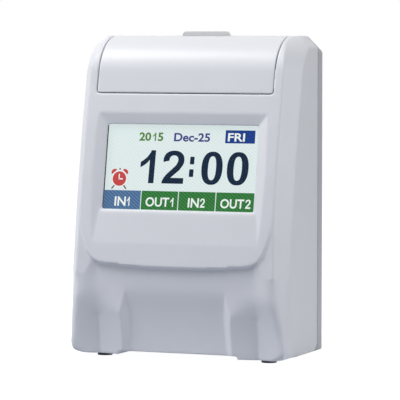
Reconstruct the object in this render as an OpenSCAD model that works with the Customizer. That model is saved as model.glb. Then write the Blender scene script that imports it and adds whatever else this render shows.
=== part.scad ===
// Card time recorder: a desk or wall time clock with a top card slot, a hinged lid and a colour display.
// Millimetres. X points to the viewer's right, -Y to the front, Z up; the origin lies on the table.

/* [Case] */
// Width over the side walls
body_w = 184; // [176:1:192]
// Height of the flat top above the table
body_h = 254.5; // [250:0.5:260]
// Wall thickness of the mouldings
wall = 2.5; // [2:0.1:3]
// Height of the rubber feet
foot_h = 3; // [2:0.5:4]
// Radius of a rubber foot
foot_r = 6; // [5:0.5:7]
// Seam between the front case and the rear cover
seam_y = 28; // [26:0.5:30]
// Depth of the rear cover behind the seam
rear_d = 22.7; // [21.7:0.5:25.7]
// Taper of the rear cover on each side
rear_taper = 4; // [3:0.5:5]
// Chamfer on the top corners
top_chamfer = 9; // [7:0.5:11]
// Rounding of the bottom side edges
base_corner_r = 7; // [5:0.5:9]

/* [Front] */
// Radius of the gently curved front
front_r = 1500; // [1200:50:2000]
// Lean of the front at the chin in degrees
chin_lean = 7.33; // [6.5:0.1:8]
// Foremost point of the chin
chin_y = -50.7; // [-52:0.1:-49]
// Distance of the chin below the top
chin_drop = 180; // [180:0.5:182]
// Radius of the rounded top front
crown_r = 36; // [33:1:39]
// Turn of the side bevels in degrees
bevel_turn = 58; // [56:0.5:60]
// Distance of the bevel from the middle at the chin
bevel_u = 96.4; // [95:0.2:98]
// Radius of the gently curved bevels
bevel_r = 2700; // [2300:100:3200]
// Lean of the bevels at the chin
bevel_lean = 3.9; // [3.6:0.1:4.2]
// Lean of the bevels where their crown begins
bevel_crown_lean = 7.1; // [6.8:0.1:7.4]
// Radius of the rounded top of the bevels
bevel_crown_r = 42; // [38:1:46]
// Step between the front panel and the body below it
panel_step = 2; // [1:0.5:3]
// Lower corner radius of the front panel
panel_corner_r = 17; // [14:1:20]
// Radius of the scoop below the chin
scoop_r = 300; // [270:5:330]
// Radius of the flutes beside the legs
flute_r = 180; // [170:5:190]
// Distance of the flutes from the middle
flute_x = 67.3; // [65.5:0.1:69]
// Turn of the leg faces in degrees
leg_turn = 11.8; // [10:0.1:13]
// Turn of the outer flute faces in degrees
flute_turn = 16.4; // [15:0.1:17.5]
// Height of the fine step along the crease beside each leg
crease_step = 0.3; // [0.2:0.05:0.5]
// Radius of the hollow between the legs
hollow_r = 200; // [180:5:220]
// Half width of that hollow at the table
hollow_half = 50; // [48:0.5:52]
// Height of the arch between the legs
arch_h = 5.6; // [5.2:0.2:6]

/* [Display] */
// Width of the visible screen
screen_w = 127; // [120:1:130]
// Height of the visible screen
screen_h = 67; // [66:0.5:70]
// Depth of the screen behind the panel
screen_d = 4.5; // [4:0.1:5]
// Distance of the screen centre below the top
screen_drop = 102.5; // [101:0.5:104]
// Width of a sloped side wall of the bezel
bezel_side = 9.8; // [8:0.2:11]
// Height of the sloped top wall of the bezel
bezel_top = 11.5; // [10:0.5:13]
// Thickness of the window
window_t = 2; // [1.5:0.1:2.3]
// Height of the ledge below the screen
ledge_h = 6.5; // [5.5:0.5:7.5]
// Depth of the ramp at the ledge
ramp_d = 2.3; // [2:0.1:2.5]
// Height of the ramp below the screen
ramp_h = 28.5; // [26:0.5:31]
// Thickness of the lip in front of the window
bezel_lip = 0.8; // [0.6:0.1:1]
// Rebate that holds the window
window_lap = 3.5; // [3:0.1:4]
// Thickness of the LCD panel
lcd_t = 5.5; // [5:0.1:6]

/* [Lid and card slot] */
// Width of the lid
lid_w = 148.8; // [146:0.2:151]
// Distance of the lid's lower edge below the top
lid_drop = 45; // [43.5:0.5:45.5]
// Rear edge of the lid
lid_y = 10.5; // [10:0.1:11]
// Radius of the lid's lower corners
lid_corner_r = 2; // [1.5:0.5:4]
// Gap around the lid
lid_gap = 0.5; // [0.4:0.1:0.8]
// Gap behind the lid's rear edge
lid_rear_gap = 1.5; // [1.2:0.1:2]
// Radius of the hinge pins
hinge_r = 1.5; // [1.2:0.1:1.8]
// Distance of the hinge in front of the lid's rear edge
hinge_back = 4; // [3.5:0.1:4.5]
// Depth of the hinge below the top
hinge_drop = 6; // [5.5:0.1:6.5]
// Width of the card channel
card_w = 87; // [86:0.5:89]
// Depth of the slot mouth
mouth_t = 5; // [4.8:0.1:5.4]
// Front face of the slot mouth
mouth_y = 14.5; // [14.3:0.1:14.8]
// Height of the tongue above the top
tongue_h = 3.5; // [2.5:0.5:4.5]
// Width of the tongue
tongue_w = 40; // [36:1:44]

/* [Mechanism] */
// Room for a motor between the chassis and the outside of the case
motor_room = 33; // [32:0.5:34]
// Thickness of the chassis sheet
sheet_t = 2; // [1.6:0.1:2.4]
// Height of the chassis
chassis_h = 144; // [142:0.5:146]
// Gap between the chassis and the key shelf
shelf_gap = 1; // [0.5:0.1:2]
// Gap between the card guides
guide_gap = 3.5; // [3:0.1:3.8]
// Thickness of the card guides
guide_t = 1.5; // [1.2:0.1:1.5]
// Radius of the roller shafts
shaft_r = 3; // [2.5:0.1:3.3]
// Radius of the feed and pinch rollers
roller_r = 8.8; // [8.5:0.1:9.2]
// Width of a roller
roller_w = 14; // [10:1:16]
// Space for the card between the rollers
nip = 0.4; // [0.35:0.05:0.6]
// Distance of the roller shafts below the chassis top
feed_drop = 84; // [79:1:89]
// Radius of the carriage rods
rod_r = 3; // [2.6:0.1:3.2]
// Radius of the lead screw
screw_r = 2.5; // [2.2:0.1:2.7]
// Distance of the lead screw below the chassis top
screw_drop = 25; // [24.5:0.5:25.5]
// Distance of the rods above and below the lead screw
rod_step = 7; // [6.8:0.1:7.2]
// Width of the carriage
carriage_w = 26; // [22:1:30]
// Running clearance of turning and sliding parts
run_gap = 0.05; // [0.03:0.01:0.08]
// Width of a setting key
key_w = 10; // [8:0.5:12]
// Distance between the setting keys
key_pitch = 20; // [18:0.5:22]
// Gap around a setting key
key_gap = 0.25; // [0.2:0.05:0.35]

/* [Fasteners and rear] */
// Shank radius of the screws
fix_r = 1.5; // [1.3:0.1:1.6]
// Gap between a screw and its hole
fix_gap = 0.1; // [0.05:0.05:0.2]
// Distance of the case screws from the sides
case_fix_in = 12; // [11:0.5:13]
// Distance of the wall holes from the middle
hang_x = 50; // [40:1:60]
// Distance of the hanging slots below the top
hang_drop = 38.5; // [34.5:1:42.5]
// Height of the locking holes
lock_z = 35; // [30:1:42]
// Radius of the locking holes
lock_r = 2.5; // [2:0.1:3]
// Radius of the jack's socket
jack_r = 2.8; // [2.5:0.1:3]

/* [Hidden] */
$fn = 64;
hw = body_w / 2;
rear_y = seam_y + rear_d;
floor_z = arch_h + 5.4;
chin_z = body_h - chin_drop;
screen_z = body_h - screen_drop;
lid_z = body_h - lid_drop;
scoop_z = chin_z - 20;
flute_z = chin_z - 81;
hollow_z = chin_z - 75;
scoop_y = seam_y - 74.2;
flute_y = seam_y - 64.9;
hollow_y = seam_y - 66.4;
front_cy = chin_y + front_r * cos(chin_lean);
front_cz = chin_z - front_r * sin(chin_lean);
crown_cz = body_h - crown_r;
crown_lean = asin((crown_cz - front_cz) / (front_r - crown_r));
crown_cy = front_cy - (front_r - crown_r) * cos(crown_lean);
bevel_cy = -bevel_u + bevel_r * cos(bevel_lean);
bevel_cz = chin_z - bevel_r * sin(bevel_lean);
bevel_crown_cy = bevel_cy - (bevel_r - bevel_crown_r) * cos(bevel_crown_lean);
bevel_crown_cz = bevel_cz + (bevel_r - bevel_crown_r) * sin(bevel_crown_lean);
screen_y = front_cy - sqrt(front_r * front_r - pow(screen_z - front_cz, 2));
screen_lean = asin((screen_z - front_cz) / front_r);
shelf_z = lid_z - 4.5;
plate_top = shelf_z - shelf_gap;
base_z = plate_top - chassis_h;
feed_z = plate_top - feed_drop;
screw_z = plate_top - screw_drop;
hinge_y = lid_y - hinge_back;
hinge_z = body_h - hinge_drop;
lid_round = sqrt(pow(hinge_back + lid_rear_gap - 0.3, 2) + pow(hinge_drop - wall, 2));
lug_x0 = lid_w / 2 - 4.4;
lug_x1 = lid_w / 2 - 0.5;
boss_x0 = lid_w / 2 + lid_gap + 0.6;
boss_x1 = boss_x0 + 4;
throat_half = card_w / 2 + 2.9;
throat_z = body_h - 40.5;
mouth_back = mouth_y + mouth_t;
guide_mid = mouth_y + 2.25;
guide_f0 = guide_mid - guide_gap / 2 - guide_t;
guide_f1 = guide_mid - guide_gap / 2;
guide_r0 = guide_mid + guide_gap / 2;
guide_r1 = guide_mid + guide_gap / 2 + guide_t;
plate_out = hw - motor_room;
chassis_half = plate_out - sheet_t;
flange_z = base_z + 2 * sheet_t;
feed_y = guide_mid - nip / 2 - roller_r;
pinch_y = guide_mid + nip / 2 + roller_r;
bush_r = shaft_r + 1.5;
bush_rim = guide_f0 - feed_y - 0.25;
roller_x = 25;
screw_y = -2;
post_x = chassis_half - 7;
post_y = [-6, 23.5];
case_fix_x = hw - case_fix_in;
case_fix_z = [40, body_h - 29.5];
hang_z = body_h - hang_drop;
vent_z = body_h - 104.5;
jack_x = 20;
jack_z = 45;
foot_x = hw - 22;
seat_y = seam_y + 6;
board_y = rear_y - wall - 7.1;
board_half = hw - 22;
board_z = plate_top - 124;
board_h = 120;
board_fix_x = board_half - 6;
board_fix_z = [board_z + 6, board_z + board_h - 6];
battery_x = 12 - post_x;
knob_x = 30;
knob_y = -11.5;
head_z0 = screw_z + 13;
head_nose = guide_f0 - 1.1;
key_y = -19.5;
key_half = 2 * key_pitch + 22;
key_top = lid_z + 1.5;
lcd_back = screen_d + window_t + lcd_t;
frame_x = screen_w / 2 + 7.5;
frame_z = screen_h / 2 + 6;

// Small helpers

module box(x0, x1, y0, y1, z0, z1) {
    translate([x0, y0, z0]) cube([x1 - x0, y1 - y0, z1 - z0]);
}

module rod_x(r, x0, x1, y, z) {
    translate([x0, y, z]) rotate([0, 90, 0]) cylinder(r = r, h = x1 - x0);
}

module rod_y(r, x, y0, y1, z) {
    translate([x, y0, z]) rotate([-90, 0, 0]) cylinder(r = r, h = y1 - y0);
}

module along_x(len) {
    rotate([90, 0, 90]) linear_extrude(height = len, center = true) children();
}

module along_y(len) {
    rotate([90, 0, 0]) linear_extrude(height = len, center = true) children();
}

module both_sides() {
    children();
    mirror([1, 0, 0]) children();
}

module at_screen() {
    translate([0, screen_y, screen_z]) rotate([-screen_lean, 0, 0]) children();
}

// Outer form of the case

module front_outline(t) {
    w = hw - t;
    zb = foot_h + t;
    zt = body_h - t;
    ch = top_chamfer - 0.586 * t;
    r = base_corner_r - t;
    polygon([[-w + r, zb], [w - r, zb], [w, zb + r], [w, zt - ch], [w - ch, zt], [-w + ch, zt],
        [-w, zt - ch], [-w, zb + r]]);
    for (s = [-1, 1])
        translate([s * (w - r), zb + r]) circle(r = r);
}

function lean_arc(cy, cz, r, a0, a1, n) = [for (i = [0:n])
    [cy - r * cos(a0 + (a1 - a0) * i / n), cz + r * sin(a0 + (a1 - a0) * i / n)]];

// Curved front that turns into a rounded crown at the top
module crowned_profile(t, yr, cy, cz, r, ky, kz, kr, lean, crown_end) {
    low = asin((foot_h - 20 - cz) / r);
    end = [ky - (kr - t) * cos(crown_end), kz + (kr - t) * sin(crown_end)];
    polygon(concat(lean_arc(cy, cz, r - t, low, lean, 6), [end, [yr, end[1]], [yr, foot_h - 20]]));
    intersection() {
        translate([ky, kz]) circle(r = kr - t);
        translate([ky - kr - 5, kz - kr - 5]) square([kr + 8, 2 * kr + 10]);
    }
}

module side_profile(t, yr) {
    crowned_profile(t, yr, front_cy, front_cz, front_r, crown_cy, crown_cz, crown_r, crown_lean, 90);
}

module bevel_profile(t) {
    crowned_profile(t, 120, bevel_cy, bevel_cz, bevel_r, bevel_crown_cy, bevel_crown_cz, bevel_crown_r,
        bevel_crown_lean, 75);
}

module case_form(t, yr) {
    intersection() {
        along_y(240) front_outline(t);
        along_x(300) side_profile(t, yr);
        rotate([0, 0, bevel_turn]) along_x(600) bevel_profile(t);
        rotate([0, 0, -bevel_turn]) along_x(600) bevel_profile(t);
    }
}

function panel_arc(cx, cz, r, a0, a1, n) = [for (i = [0:n])
    [cx + r * cos(a0 + (a1 - a0) * i / n), cz - r * sin(a0 + (a1 - a0) * i / n)]];

// Shield shaped outline of the front panel
module panel_outline() {
    cx = 75.6 - panel_corner_r;
    cz = chin_z + 1.5 + panel_corner_r;
    lead = 75;
    px = cx + panel_corner_r * cos(25);
    pz = cz - panel_corner_r * sin(25);
    low = [[0, chin_z - 0.6], [cx * 0.35, chin_z - 0.4], [cx * 0.7, chin_z + 0.4]];
    corner = panel_arc(cx, cz, panel_corner_r, 86, 25, 8);
    flank = panel_arc(px - lead * cos(25), pz + lead * sin(25), lead, 22, 0, 5);
    top = [[hw + 10, flank[5][1]], [hw + 10, body_h + 20], [0, body_h + 20]];
    both_flat() polygon(concat(low, corner, flank, top));
}

module both_flat() {
    children();
    mirror([1, 0]) children();
}

// Round cut turned about the crease beside a leg
module turned_cut(turn, r, y, z) {
    translate([flute_x, y, 0]) rotate([0, 0, turn]) rod_x(r, -75, 75, -r, z);
}

module scoop() {
    intersection() {
        rod_x(scoop_r, -hw - 5, hw + 5, scoop_y - scoop_r, scoop_z);
        box(-flute_x, flute_x, chin_y - 40, 0, -5, chin_z + 5);
    }
    both_sides() {
        intersection() {
            turned_cut(leg_turn, flute_r, flute_y, flute_z);
            box(0, flute_x, chin_y - 40, 0, -5, chin_z + 5);
        }
        intersection() {
            union() {
                turned_cut(-flute_turn, scoop_r, scoop_y - crease_step, scoop_z);
                turned_cut(-flute_turn, flute_r, flute_y, flute_z);
            }
            box(flute_x - 0.1, hw + 5, chin_y - 40, 0, -5, chin_z + 5);
        }
    }
}

// Step below the panel, which fades out upwards
module front_relief() {
    top = chin_z + 49;
    edge = front_cy - sqrt(front_r * front_r - pow(top - front_cz, 2));
    difference() {
        union() {
            scoop();
            difference() {
                box(-hw - 5, hw + 5, chin_y - 30, 0, foot_h - 5, chin_z + 43);
                translate([0, edge, top]) rotate([atan(panel_step / 49), 0, 0]) translate([0, -edge, -top])
                    along_x(300) side_profile(0, seam_y + 20);
            }
        }
        along_y(400) panel_outline();
    }
}

module leg_hollow() {
    foot = hollow_half - 8;
    intersection() {
        rod_x(hollow_r, -hw, hw, hollow_y - hollow_r, hollow_z);
        translate([0, hollow_y, arch_h]) rotate([9, 0, 0]) linear_extrude(height = 150, center = true)
            polygon([[-foot + 6, 4], [foot - 6, 4], [foot + 30, -20], [-foot - 30, -20]]);
        box(-hw, hw, chin_y - 40, 0, -5, chin_z - 4);
    }
    box(-hollow_half, hollow_half, -120, seam_y - 35, foot_h - 5, arch_h);
}

module case_cavity() {
    intersection() {
        case_form(wall, seam_y + 1);
        union() {
            box(-hw + 3, hw - 3, seam_y - 42, seam_y + 2, floor_z, shelf_z + 1);
            box(-hw, hw, -100, seam_y + 2, shelf_z, body_h);
            box(-hw + 24, hw - 24, chin_y + 6.7, seam_y - 41, chin_z - 7, chin_z + 13);
            both_sides()
                box(hollow_half + 4, hw - 10, seam_y - 59, seam_y - 41, floor_z, chin_z - 5);
            box(-hollow_half - 5, hollow_half + 5, seam_y - 59, seam_y - 41, floor_z, chin_z - 6);
            intersection() {
                box(-frame_x - 8, frame_x + 8, -100, seam_y - 41, chin_z + 11, shelf_z + 1);
                translate([0, screen_d + window_t + 1.5, 0]) along_x(170) side_profile(0, seam_y);
            }
        }
    }
}

module bezel_cut() {
    lip = screen_d - bezel_lip;
    run = lip + 3;
    sw = screen_w / 2;
    sh = screen_h / 2;
    side = bezel_side / lip * run;
    top = bezel_top / lip * run;
    out = sw + bezel_side + 0.6;
    low = -sh - ramp_h;
    rise = (ramp_d - 1.3) / (ramp_h - ledge_h);
    at_screen() {
        intersection() {
            linear_extrude(height = 200, center = true)
                polygon([[-sw, lip], [sw, lip], [sw + side, -3], [-sw - side, -3]]);
            along_x(200)
                polygon([[lip, -sh], [lip, sh], [-3, sh + top], [-3, low - 5], [1.3 - 5 * rise, low - 5],
                    [ramp_d, -sh - ledge_h], [ramp_d + 0.08, -sh - ledge_h * 0.7],
                    [ramp_d + 0.25, -sh - ledge_h * 0.43], [ramp_d + 0.55, -sh - ledge_h * 0.22],
                    [ramp_d + 1, -sh - ledge_h * 0.08]]);
            along_y(40)
                polygon([[-out, sh + 40], [out, sh + 40], [out, low + 12], [out - 1.2, low + 6.5],
                    [out - 4.2, low + 2.2], [out - 8, low], [out - 12, low - 1], [-out + 12, low - 1], [-out + 8, low],
                    [-out + 4.2, low + 2.2], [-out + 1.2, low + 6.5], [-out, low + 12]]);
        }
        box(-sw, sw, lip - 0.5, screen_d + 8, -sh, sh);
        box(-sw - window_lap, sw + window_lap, screen_d, screen_d + 8, -sh - window_lap, sh + window_lap);
    }
}

module lid_zone(gap, rear) {
    r = lid_corner_r + gap;
    w = lid_w / 2 + gap;
    z = lid_z - gap;
    intersection() {
        box(-w, w, chin_y - 50, lid_y + rear, z, body_h + 20);
        along_y(400) union() {
            polygon([[-w + r, z], [w - r, z], [w, z + r], [w, body_h + 20], [-w, body_h + 20], [-w, z + r]]);
            for (s = [-1, 1])
                translate([s * (w - r), z + r]) circle(r = r);
        }
    }
}

module front_case() {
    color([0.86, 0.87, 0.9]) difference() {
        union() {
            difference() {
                case_form(0, seam_y);
                case_cavity();
            }
            for (x = [-post_x, post_x], y = post_y)
                translate([x, y, floor_z - 1]) cylinder(r = 4, h = base_z - floor_z + 1);
            for (z = case_fix_z)
                both_sides() {
                    rod_y(4.5, case_fix_x, 4, seam_y, z);
                    box(case_fix_x, hw - 1, 4, seam_y, z - 1.5, z + 1.5);
                }
            both_sides()
                box(boss_x0, boss_x1, hinge_y - 3, lid_y + 0.5, hinge_z - 4, body_h - 4);
            at_screen()
                for (x = [-frame_x, frame_x], z = [-frame_z, frame_z])
                    rod_y(3.5, x, screen_d + window_t, lcd_back, z);
        }
        front_relief();
        leg_hollow();
        bezel_cut();
        lid_zone(lid_gap, lid_rear_gap);
        box(-throat_half - 0.1, throat_half + 0.1, lid_y - 1, mouth_back + 4, body_h - 10, body_h + 5);
        both_sides()
            rod_x(hinge_r, boss_x0 - 1, boss_x1 - 0.5, hinge_y, hinge_z);
        for (x = [-post_x, post_x], y = post_y)
            translate([x, y, base_z - 16]) cylinder(r = fix_r + fix_gap, h = 20);
        for (z = case_fix_z)
            both_sides()
                rod_y(fix_r + fix_gap, case_fix_x, 8, seam_y + 1, z);
        at_screen()
            for (x = [-frame_x, frame_x], z = [-frame_z, frame_z])
                rod_y(1.25 + fix_gap, x, lcd_back - 4.4, lcd_back + 1, z);
    }
}

// Rear cover with hanging slots

module rear_form(t) {
    w = hw - t;
    zb = foot_h + t;
    zt = body_h - t;
    y1 = rear_y - t;
    k = rear_taper / rear_d;
    e = (hw + body_h - top_chamfer - 1.414 * t) / sqrt(2);
    g = 2 * k / sqrt(2);
    intersection() {
        along_y(240) front_outline(t);
        translate([0, 0, -10]) linear_extrude(height = body_h + 20)
            polygon([[-w - k, seam_y - 1], [w + k, seam_y - 1], [w + k, seam_y], [w - rear_taper, rear_y],
                [w - rear_taper, rear_y + 1], [-w + rear_taper, rear_y + 1], [-w + rear_taper, rear_y],
                [-w - k, seam_y]]);
        along_x(240)
            polygon([[seam_y, zb], [y1, zb], [y1, zt - rear_taper], [seam_y, zt]]);
        both_cut(e, g);
    }
}

module both_cut(e, g) {
    intersection() {
        rotate([0, -45, 0]) linear_extrude(height = 700, center = true)
            polygon([[-150, seam_y - 8], [e + 8 * g, seam_y - 8], [e - 40 * g, seam_y + 40],
                [-150, seam_y + 40]]);
        mirror([1, 0, 0]) rotate([0, -45, 0]) linear_extrude(height = 700, center = true)
            polygon([[-150, seam_y - 8], [e + 8 * g, seam_y - 8], [e - 40 * g, seam_y + 40],
                [-150, seam_y + 40]]);
    }
}

module rear_cover() {
    color([0.8, 0.81, 0.84]) difference() {
        union() {
            difference() {
                rear_form(0);
                translate([0, -0.01, 0]) rear_form(wall);
            }
            for (z = case_fix_z)
                both_sides()
                    rod_y(5, case_fix_x, seam_y, rear_y - 1, z);
            for (x = [-board_fix_x, board_fix_x], z = board_fix_z)
                rod_y(4, x, board_y + 1.6, rear_y - 1, z);
        }
        for (z = case_fix_z)
            both_sides() {
                rod_y(fix_r + fix_gap, case_fix_x, seam_y - 1, rear_y + 1, z);
                rod_y(3.5, case_fix_x, seat_y, rear_y + 1, z);
            }
        for (x = [-board_fix_x, board_fix_x], z = board_fix_z)
            rod_y(1.25 + fix_gap, x, board_y + 1, rear_y - wall - 0.5, z);
        for (x = [-hang_x, hang_x]) {
            rod_y(4.6, x, rear_y - 6, rear_y + 1, hang_z);
            rod_y(2.3, x, rear_y - 6, rear_y + 1, hang_z + 10);
            box(x - 2.3, x + 2.3, rear_y - 6, rear_y + 1, hang_z, hang_z + 10);
            rod_y(lock_r, x, rear_y - 6, rear_y + 1, lock_z);
        }
        for (i = [0:6])
            box(-30 + 9 * i, -27 + 9 * i, rear_y - 6, rear_y + 1, vent_z, vent_z + 26);
        rod_y(5.6, jack_x, rear_y - 6, rear_y + 1, jack_z);
    }
}

// Lid and card throat

module top_lid() {
    color([0.88, 0.89, 0.92]) difference() {
        union() {
            difference() {
                intersection() {
                    case_form(0, seam_y);
                    lid_zone(0, 0);
                }
                case_form(wall, seam_y + 30);
            }
            both_sides() {
                rod_x(4, lug_x0, lug_x1, hinge_y, hinge_z);
                box(lug_x0, lug_x1, hinge_y - 4, lid_y, hinge_z, body_h - 1.8);
            }
        }
        both_sides()
            rod_x(hinge_r + run_gap, lug_x0 - 1, lug_x1 + 1, hinge_y, hinge_z);
        box(-card_w / 2, card_w / 2, lid_y - 3, lid_y + 1, body_h - 1.4, body_h + 5);
        difference() {
            box(-lid_w, lid_w, hinge_y, lid_y + 1, hinge_z, body_h + 5);
            rod_x(lid_round, -lid_w - 1, lid_w + 1, hinge_y, hinge_z);
        }
    }
}

module lid_pins() {
    color([0.7, 0.71, 0.73])
        both_sides()
            rod_x(hinge_r, lug_x0, boss_x1 - 0.5, hinge_y, hinge_z);
}

module card_throat() {
    color([0.84, 0.85, 0.88]) difference() {
        union() {
            box(-throat_half, throat_half, mouth_y - 1.5, mouth_back + 3.9, throat_z, throat_z + 30);
            box(-throat_half, throat_half, mouth_y, mouth_back + 3.9, throat_z + 29, body_h - 1);
            box(-throat_half - 3.6, throat_half + 3.6, mouth_y, mouth_back + 6, body_h - wall - 2, body_h - wall);
            along_y_tongue();
        }
        box(-card_w / 2, card_w / 2, mouth_y, mouth_back, throat_z - 1, body_h + 10);
        box(-card_w / 2, card_w / 2, mouth_y - 2, mouth_back, throat_z + 30, body_h + 10);
    }
}

module along_y_tongue() {
    r = 3;
    top = body_h + tongue_h;
    translate([0, mouth_back + 1.9, 0]) along_y(3.8) union() {
        polygon([[-tongue_w / 2, body_h - 6], [tongue_w / 2, body_h - 6], [tongue_w / 2, top - r],
            [tongue_w / 2 - r, top], [-tongue_w / 2 + r, top], [-tongue_w / 2, top - r]]);
        for (s = [-1, 1])
            translate([s * (tongue_w / 2 - r), top - r]) circle(r = r);
    }
}

// Display stack

module display_window() {
    x = screen_w / 2 + window_lap - 0.1;
    z = screen_h / 2 + window_lap - 0.1;
    color([0.75, 0.85, 0.85]) at_screen()
        box(-x, x, screen_d, screen_d + window_t, -z, z);
}

module lcd_panel() {
    x = screen_w / 2 + window_lap - 1;
    z = screen_h / 2 + window_lap - 0.6;
    color([0.2, 0.22, 0.25]) at_screen()
        box(-x, x, screen_d + window_t, lcd_back, -z, z);
}

module lcd_frame() {
    color([0.7, 0.72, 0.74]) at_screen() difference() {
        union() {
            box(-frame_x - 4, frame_x + 4, lcd_back, lcd_back + 1.2, -frame_z - 3.5, frame_z + 3.5);
            for (x = [-frame_x + 17, frame_x - 17], z = [-frame_z + 12, frame_z - 12])
                rod_y(3, x, lcd_back + 1, lcd_back + 4, z);
        }
        for (x = [-frame_x, frame_x], z = [-frame_z, frame_z])
            rod_y(1.25 + fix_gap, x, lcd_back - 1, lcd_back + 3, z);
        box(-35, 35, lcd_back - 1, lcd_back + 2, -18, 18);
    }
}

module display_board() {
    board_x = screen_w / 2 - 3.5;
    color([0.1, 0.35, 0.2]) at_screen() union() {
        box(-board_x, board_x, lcd_back + 4, lcd_back + 5.6, -screen_h / 2 + 1, screen_h / 2 - 1);
        box(-20, 5, lcd_back + 5.5, lcd_back + 7.4, -12, 12);
        box(20, 44, lcd_back + 5.5, lcd_back + 8.4, -31, -24);
    }
}

module frame_screws() {
    color([0.6, 0.61, 0.63]) at_screen()
        for (x = [-frame_x, frame_x], z = [-frame_z, frame_z]) {
            rod_y(1.25, x, lcd_back - 4, lcd_back + 1.3, z);
            rod_y(2.4, x, lcd_back + 1.2, lcd_back + 3, z);
        }
}

// Setting keys under the lid

module key_board() {
    color([0.1, 0.35, 0.2])
        box(-key_half, key_half, key_y - 4, key_y + 4, shelf_z, shelf_z + 1.4);
}

module key_strip() {
    color([0.35, 0.37, 0.4]) difference() {
        union() {
            box(-key_half, key_half, key_y - 4, key_y + 4, key_top - 1.8, key_top);
            both_sides()
                box(key_half - 7, key_half, key_y - 4, key_y + 4, shelf_z + 1.4, key_top - 1);
        }
        for (i = [-2:2])
            translate([i * key_pitch, 0, 0])
                box(-key_w / 2 - key_gap, key_w / 2 + key_gap, key_y - 2.5 - key_gap, key_y + 2.5 + key_gap,
                    shelf_z, key_top + 5);
    }
}

module set_key(i) {
    x = (i - 3) * key_pitch;
    color([0.25, 0.45, 0.7]) union() {
        box(x - key_w / 2, x + key_w / 2, key_y - 2.5, key_y + 2.5, shelf_z + 3, key_top + 2.5);
        box(x - key_w / 2 - 1.4, x + key_w / 2 + 1.4, key_y - 3.4, key_y + 3.4, shelf_z + 2.6, key_top - 1.8);
    }
}

module set_key_1() {
    color([0.25, 0.45, 0.7]) set_key(1);
}

module set_key_2() {
    color([0.25, 0.45, 0.7]) set_key(2);
}

module set_key_3() {
    color([0.25, 0.45, 0.7]) set_key(3);
}

module set_key_4() {
    color([0.25, 0.45, 0.7]) set_key(4);
}

module set_key_5() {
    color([0.25, 0.45, 0.7]) set_key(5);
}

// Chassis and card guides

module chassis_base() {
    color([0.72, 0.73, 0.75]) difference() {
        box(-plate_out, plate_out, -12, 28, base_z, base_z + sheet_t);
        for (x = [-post_x, post_x], y = post_y)
            translate([x, y, base_z - 1]) cylinder(r = fix_r + fix_gap, h = sheet_t + 2);
    }
}

module chassis_plate() {
    difference() {
        union() {
            box(chassis_half, plate_out, -12, 33, base_z + sheet_t, plate_top);
            box(chassis_half - 13, chassis_half + 0.5, -12, 28, base_z + sheet_t, flange_z);
        }
        for (y = post_y)
            translate([post_x, y, base_z]) cylinder(r = fix_r + fix_gap, h = 3 * sheet_t);
        for (y = [feed_y, pinch_y])
            rod_x(bush_r, chassis_half - 1, plate_out + 1, y, feed_z);
        for (s = [-1, 1])
            rod_x(rod_r, chassis_half - 1, plate_out + 1, screw_y, screw_z + s * rod_step);
        rod_x(screw_r + run_gap, chassis_half - 1, plate_out + 1, screw_y, screw_z);
    }
}

module plate_left() {
    color([0.74, 0.75, 0.77]) mirror([1, 0, 0]) chassis_plate();
}

module plate_right() {
    color([0.74, 0.75, 0.77]) chassis_plate();
}

module guide_windows(y0, y1) {
    both_sides()
        box(roller_x - roller_w / 2 - 2, roller_x + roller_w / 2 + 2, y0, y1, feed_z - 11, feed_z + 11);
}

module front_guide() {
    color([0.78, 0.79, 0.8]) difference() {
        box(-chassis_half, chassis_half, guide_f0, guide_f1, flange_z, throat_z);
        guide_windows(guide_f0 - 1, guide_f1 + 1);
        box(-chassis_half + 9, chassis_half - 9, guide_f0 - 1, guide_f1 + 1, head_z0 + 1, head_z0 + 15);
        rod_y(2, 0, guide_f0 - 1, guide_f1 + 1, feed_z - 24);
    }
}

module rear_guide() {
    color([0.78, 0.79, 0.8]) difference() {
        box(-chassis_half, chassis_half, guide_r0, guide_r1, flange_z, throat_z);
        guide_windows(guide_r0 - 1, guide_r1 + 1);
        box(-chassis_half + 11, chassis_half - 11, guide_r0 - 1, guide_r1 + 1, head_z0 + 2, head_z0 + 12);
    }
}

module platen() {
    color([0.15, 0.15, 0.16]) union() {
        box(-post_x, post_x, guide_r1, guide_r1 + 5, head_z0 - 2, head_z0 + 16);
        box(-chassis_half + 11.5, chassis_half - 11.5, guide_r0 + 0.2, guide_r1 + 1, head_z0 + 2.5,
            head_z0 + 11.5);
    }
}

module card_sensor() {
    color([0.12, 0.12, 0.13])
        box(-6, 6, guide_f0 - 5, guide_f0, feed_z - 29, feed_z - 19);
}

// Print carriage

module carriage_rods() {
    color([0.8, 0.81, 0.83])
        for (s = [-1, 1])
            rod_x(rod_r, -plate_out, plate_out, screw_y, screw_z + s * rod_step);
}

module carriage() {
    color([0.2, 0.21, 0.23]) difference() {
        box(-carriage_w / 2, carriage_w / 2, -9, 5, screw_z - 13, head_z0);
        for (s = [-1, 1])
            rod_x(rod_r + run_gap, -carriage_w, carriage_w, screw_y, screw_z + s * rod_step);
        rod_x(screw_r + run_gap, -carriage_w, carriage_w, screw_y, screw_z);
    }
}

module print_head() {
    color([0.3, 0.31, 0.33]) union() {
        box(-9, 9, -6, head_nose - 4, head_z0, head_z0 + 14);
        box(-3.5, 3.5, head_nose - 5, head_nose, head_z0 + 4, head_z0 + 11);
    }
}

module lead_screw() {
    color([0.75, 0.76, 0.78]) union() {
        rod_x(screw_r, -plate_out - 2, plate_out + 10, screw_y, screw_z);
        both_sides()
            rod_x(screw_r + 1.3, chassis_half - 2.1, chassis_half - 0.4, screw_y, screw_z);
    }
}

module carriage_motor() {
    color([0.55, 0.56, 0.58]) difference() {
        rod_x(11, plate_out, plate_out + 23, screw_y, screw_z);
        rod_x(screw_r + run_gap, plate_out - 1, plate_out + 11, screw_y, screw_z);
    }
}

// Card feed

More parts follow.
